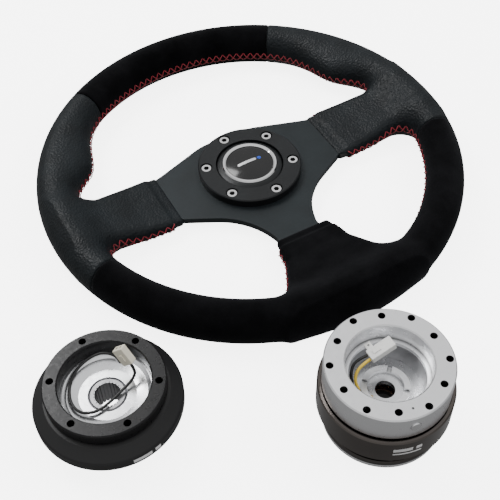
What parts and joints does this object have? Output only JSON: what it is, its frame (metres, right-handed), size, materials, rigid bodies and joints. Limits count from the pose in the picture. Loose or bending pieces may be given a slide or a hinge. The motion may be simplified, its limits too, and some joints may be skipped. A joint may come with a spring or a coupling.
{
  "type": "quick release steering wheel kit",
  "caption": "Three-spoke flat-dish steering wheel in suede and leather, with a push-button quick release coupling and a short splined hub adapter laid beside it.",
  "frame": {"origin": "centre of the wheel's mounting face, on the steering axis", "axes": "+Z along the steering axis towards the driver, +Y towards 12 o'clock of the wheel; the coupling and the hub adapter stand on the same surface as the wheel"},
  "size_m": [0.4049, 0.4477, 0.0624],
  "materials": {
    "suede": "matte napped suede",
    "leather": "soft grained leather",
    "foam": "moulded foam",
    "plate_black": "black anodised",
    "horn_black": "satin black anodised",
    "gloss_black": "polished",
    "black_plastic": "moulded",
    "steel": "mill finish",
    "bright_steel": "polished",
    "dark_steel": "black oxide",
    "grey_steel": "ground",
    "spring_steel": "drawn wire",
    "brass": "plain",
    "copper": "plain",
    "chrome": "mirror",
    "silver": "satin silver anodised",
    "gunmetal": "gunmetal anodised",
    "gunmetal_chrome": "dark chrome",
    "rubber": "nitrile",
    "hub_black": "satin black",
    "hub_rubber": "satin black",
    "zinc": "bright zinc plated",
    "wire_black": "insulation",
    "wire_yellow": "insulation",
    "white_plastic": "moulded nylon",
    "ivory_plastic": "moulded nylon"
  },
  "bodies": {
    "wheel": {"spoke_plate": "plate_black", "rim_frame": "steel", "rim_rivets": "steel", "foam_core": "foam", "grip_top": "suede", "grip_bottom": "suede", "grip_left": "leather", "grip_right": "leather", "horn_ring": "horn_black", "wheel_screws": "bright_steel", "horn_housing": "black_plastic", "horn_terminals": "brass", "horn_contact_fixed": "brass", "horn_spring": "spring_steel"},
    "horn_button_group": {"horn_button": "horn_black", "horn_bezel": "chrome", "horn_cap": "gloss_black", "horn_contact_moving": "brass"},
    "coupling_base": {"qr_base_disc": "silver", "qr_collar": "gunmetal", "qr_base_bolts": "dark_steel", "drive_dowels": "bright_steel", "collar_snap_ring": "spring_steel", "slip_ring_carrier": "black_plastic", "slip_ring_outer": "copper", "slip_ring_inner": "copper", "lock_ring_o_ring": "rubber"},
    "coupling_wheel_side": {"qr_body": "silver", "qr_spigot": "grey_steel", "spigot_screws": "dark_steel", "button_spring_front": "spring_steel", "button_spring_rear": "spring_steel", "contact_plate": "zinc", "contact_retainer": "silver", "contact_pins": "brass", "wire_yellow": "wire_yellow", "wire_black": "wire_black", "qr_connector": "white_plastic"},
    "lock_ring": {"qr_lock_ring": "gunmetal_chrome"},
    "press_front": {"qr_button_front": "chrome"},
    "press_rear": {"qr_button_rear": "chrome"},
    "hub_adapter": {"hub_flange": "hub_black", "hub_cover": "hub_rubber", "hub_drum": "hub_black", "hub_bowl": "zinc", "hub_spline_core": "grey_steel", "hub_horn_ring": "copper", "cancel_cam": "white_plastic", "hub_wire": "wire_black", "hub_connector": "ivory_plastic"},
    "ball_1": {"lock_ball_1": "bright_steel"},
    "ball_2": {"lock_ball_2": "bright_steel"},
    "ball_3": {"lock_ball_3": "bright_steel"},
    "ball_4": {"lock_ball_4": "bright_steel"},
    "ball_5": {"lock_ball_5": "bright_steel"},
    "ball_6": {"lock_ball_6": "bright_steel"}
  },
  "joints": [
    {"name": "horn_press", "type": "slide", "parent": "wheel", "child": "horn_button_group", "axis": [0, 0, -1], "range_m": [0, 0.0015], "stiffness_N_per_m": 2500, "springref_m": -0.002, "deforming": ["horn_spring"]},
    {"name": "coupling_lift", "type": "slide", "parent": "wheel", "child": "coupling_base", "axis": [0, 0, 1], "range_m": [0, 0.1]},
    {"name": "coupling_release", "type": "slide", "parent": "coupling_base", "child": "coupling_wheel_side", "axis": [0, 0, 1], "range_m": [0, 0.035]},
    {"name": "lock_ring_slide", "type": "slide", "parent": "coupling_base", "child": "lock_ring", "axis": [0, 0, 1], "range_m": [0, 0.0065]},
    {"name": "ball_1_slide", "type": "slide", "parent": "coupling_base", "child": "ball_1", "axis": [-0.829, -0.5592, 0], "range_m": [0, 0.0016]},
    {"name": "ball_2_slide", "type": "slide", "parent": "coupling_base", "child": "ball_2", "axis": [0.0698, -0.9976, 0], "range_m": [0, 0.0016]},
    {"name": "ball_3_slide", "type": "slide", "parent": "coupling_base", "child": "ball_3", "axis": [0.8988, -0.4384, 0], "range_m": [0, 0.0016]},
    {"name": "ball_4_slide", "type": "slide", "parent": "coupling_base", "child": "ball_4", "axis": [0.829, 0.5592, 0], "range_m": [0, 0.0016]},
    {"name": "ball_5_slide", "type": "slide", "parent": "coupling_base", "child": "ball_5", "axis": [-0.0698, 0.9976, 0], "range_m": [0, 0.0016]},
    {"name": "ball_6_slide", "type": "slide", "parent": "coupling_base", "child": "ball_6", "axis": [-0.8988, 0.4384, 0], "range_m": [0, 0.0016]},
    {"name": "button_front_press", "type": "slide", "parent": "coupling_wheel_side", "child": "press_front", "axis": [0.1908, 0.9816, 0], "range_m": [0, 0.0025], "stiffness_N_per_m": 900, "springref_m": -0.002, "deforming": ["button_spring_front"]},
    {"name": "button_rear_press", "type": "slide", "parent": "coupling_wheel_side", "child": "press_rear", "axis": [-0.1908, -0.9816, 0], "range_m": [0, 0.0025], "stiffness_N_per_m": 900, "springref_m": -0.002, "deforming": ["button_spring_rear"]},
    {"name": "hub_lift", "type": "slide", "parent": "wheel", "child": "hub_adapter", "axis": [0, 0, 1], "range_m": [0, 0.1]}
  ],
  "couplings": [
    {"joint": "ball_1_slide", "follows": "lock_ring_slide", "ratio": 0.24},
    {"joint": "ball_2_slide", "follows": "lock_ring_slide", "ratio": 0.24},
    {"joint": "ball_3_slide", "follows": "lock_ring_slide", "ratio": 0.24},
    {"joint": "ball_4_slide", "follows": "lock_ring_slide", "ratio": 0.24},
    {"joint": "ball_5_slide", "follows": "lock_ring_slide", "ratio": 0.24},
    {"joint": "ball_6_slide", "follows": "lock_ring_slide", "ratio": 0.24}
  ]
}
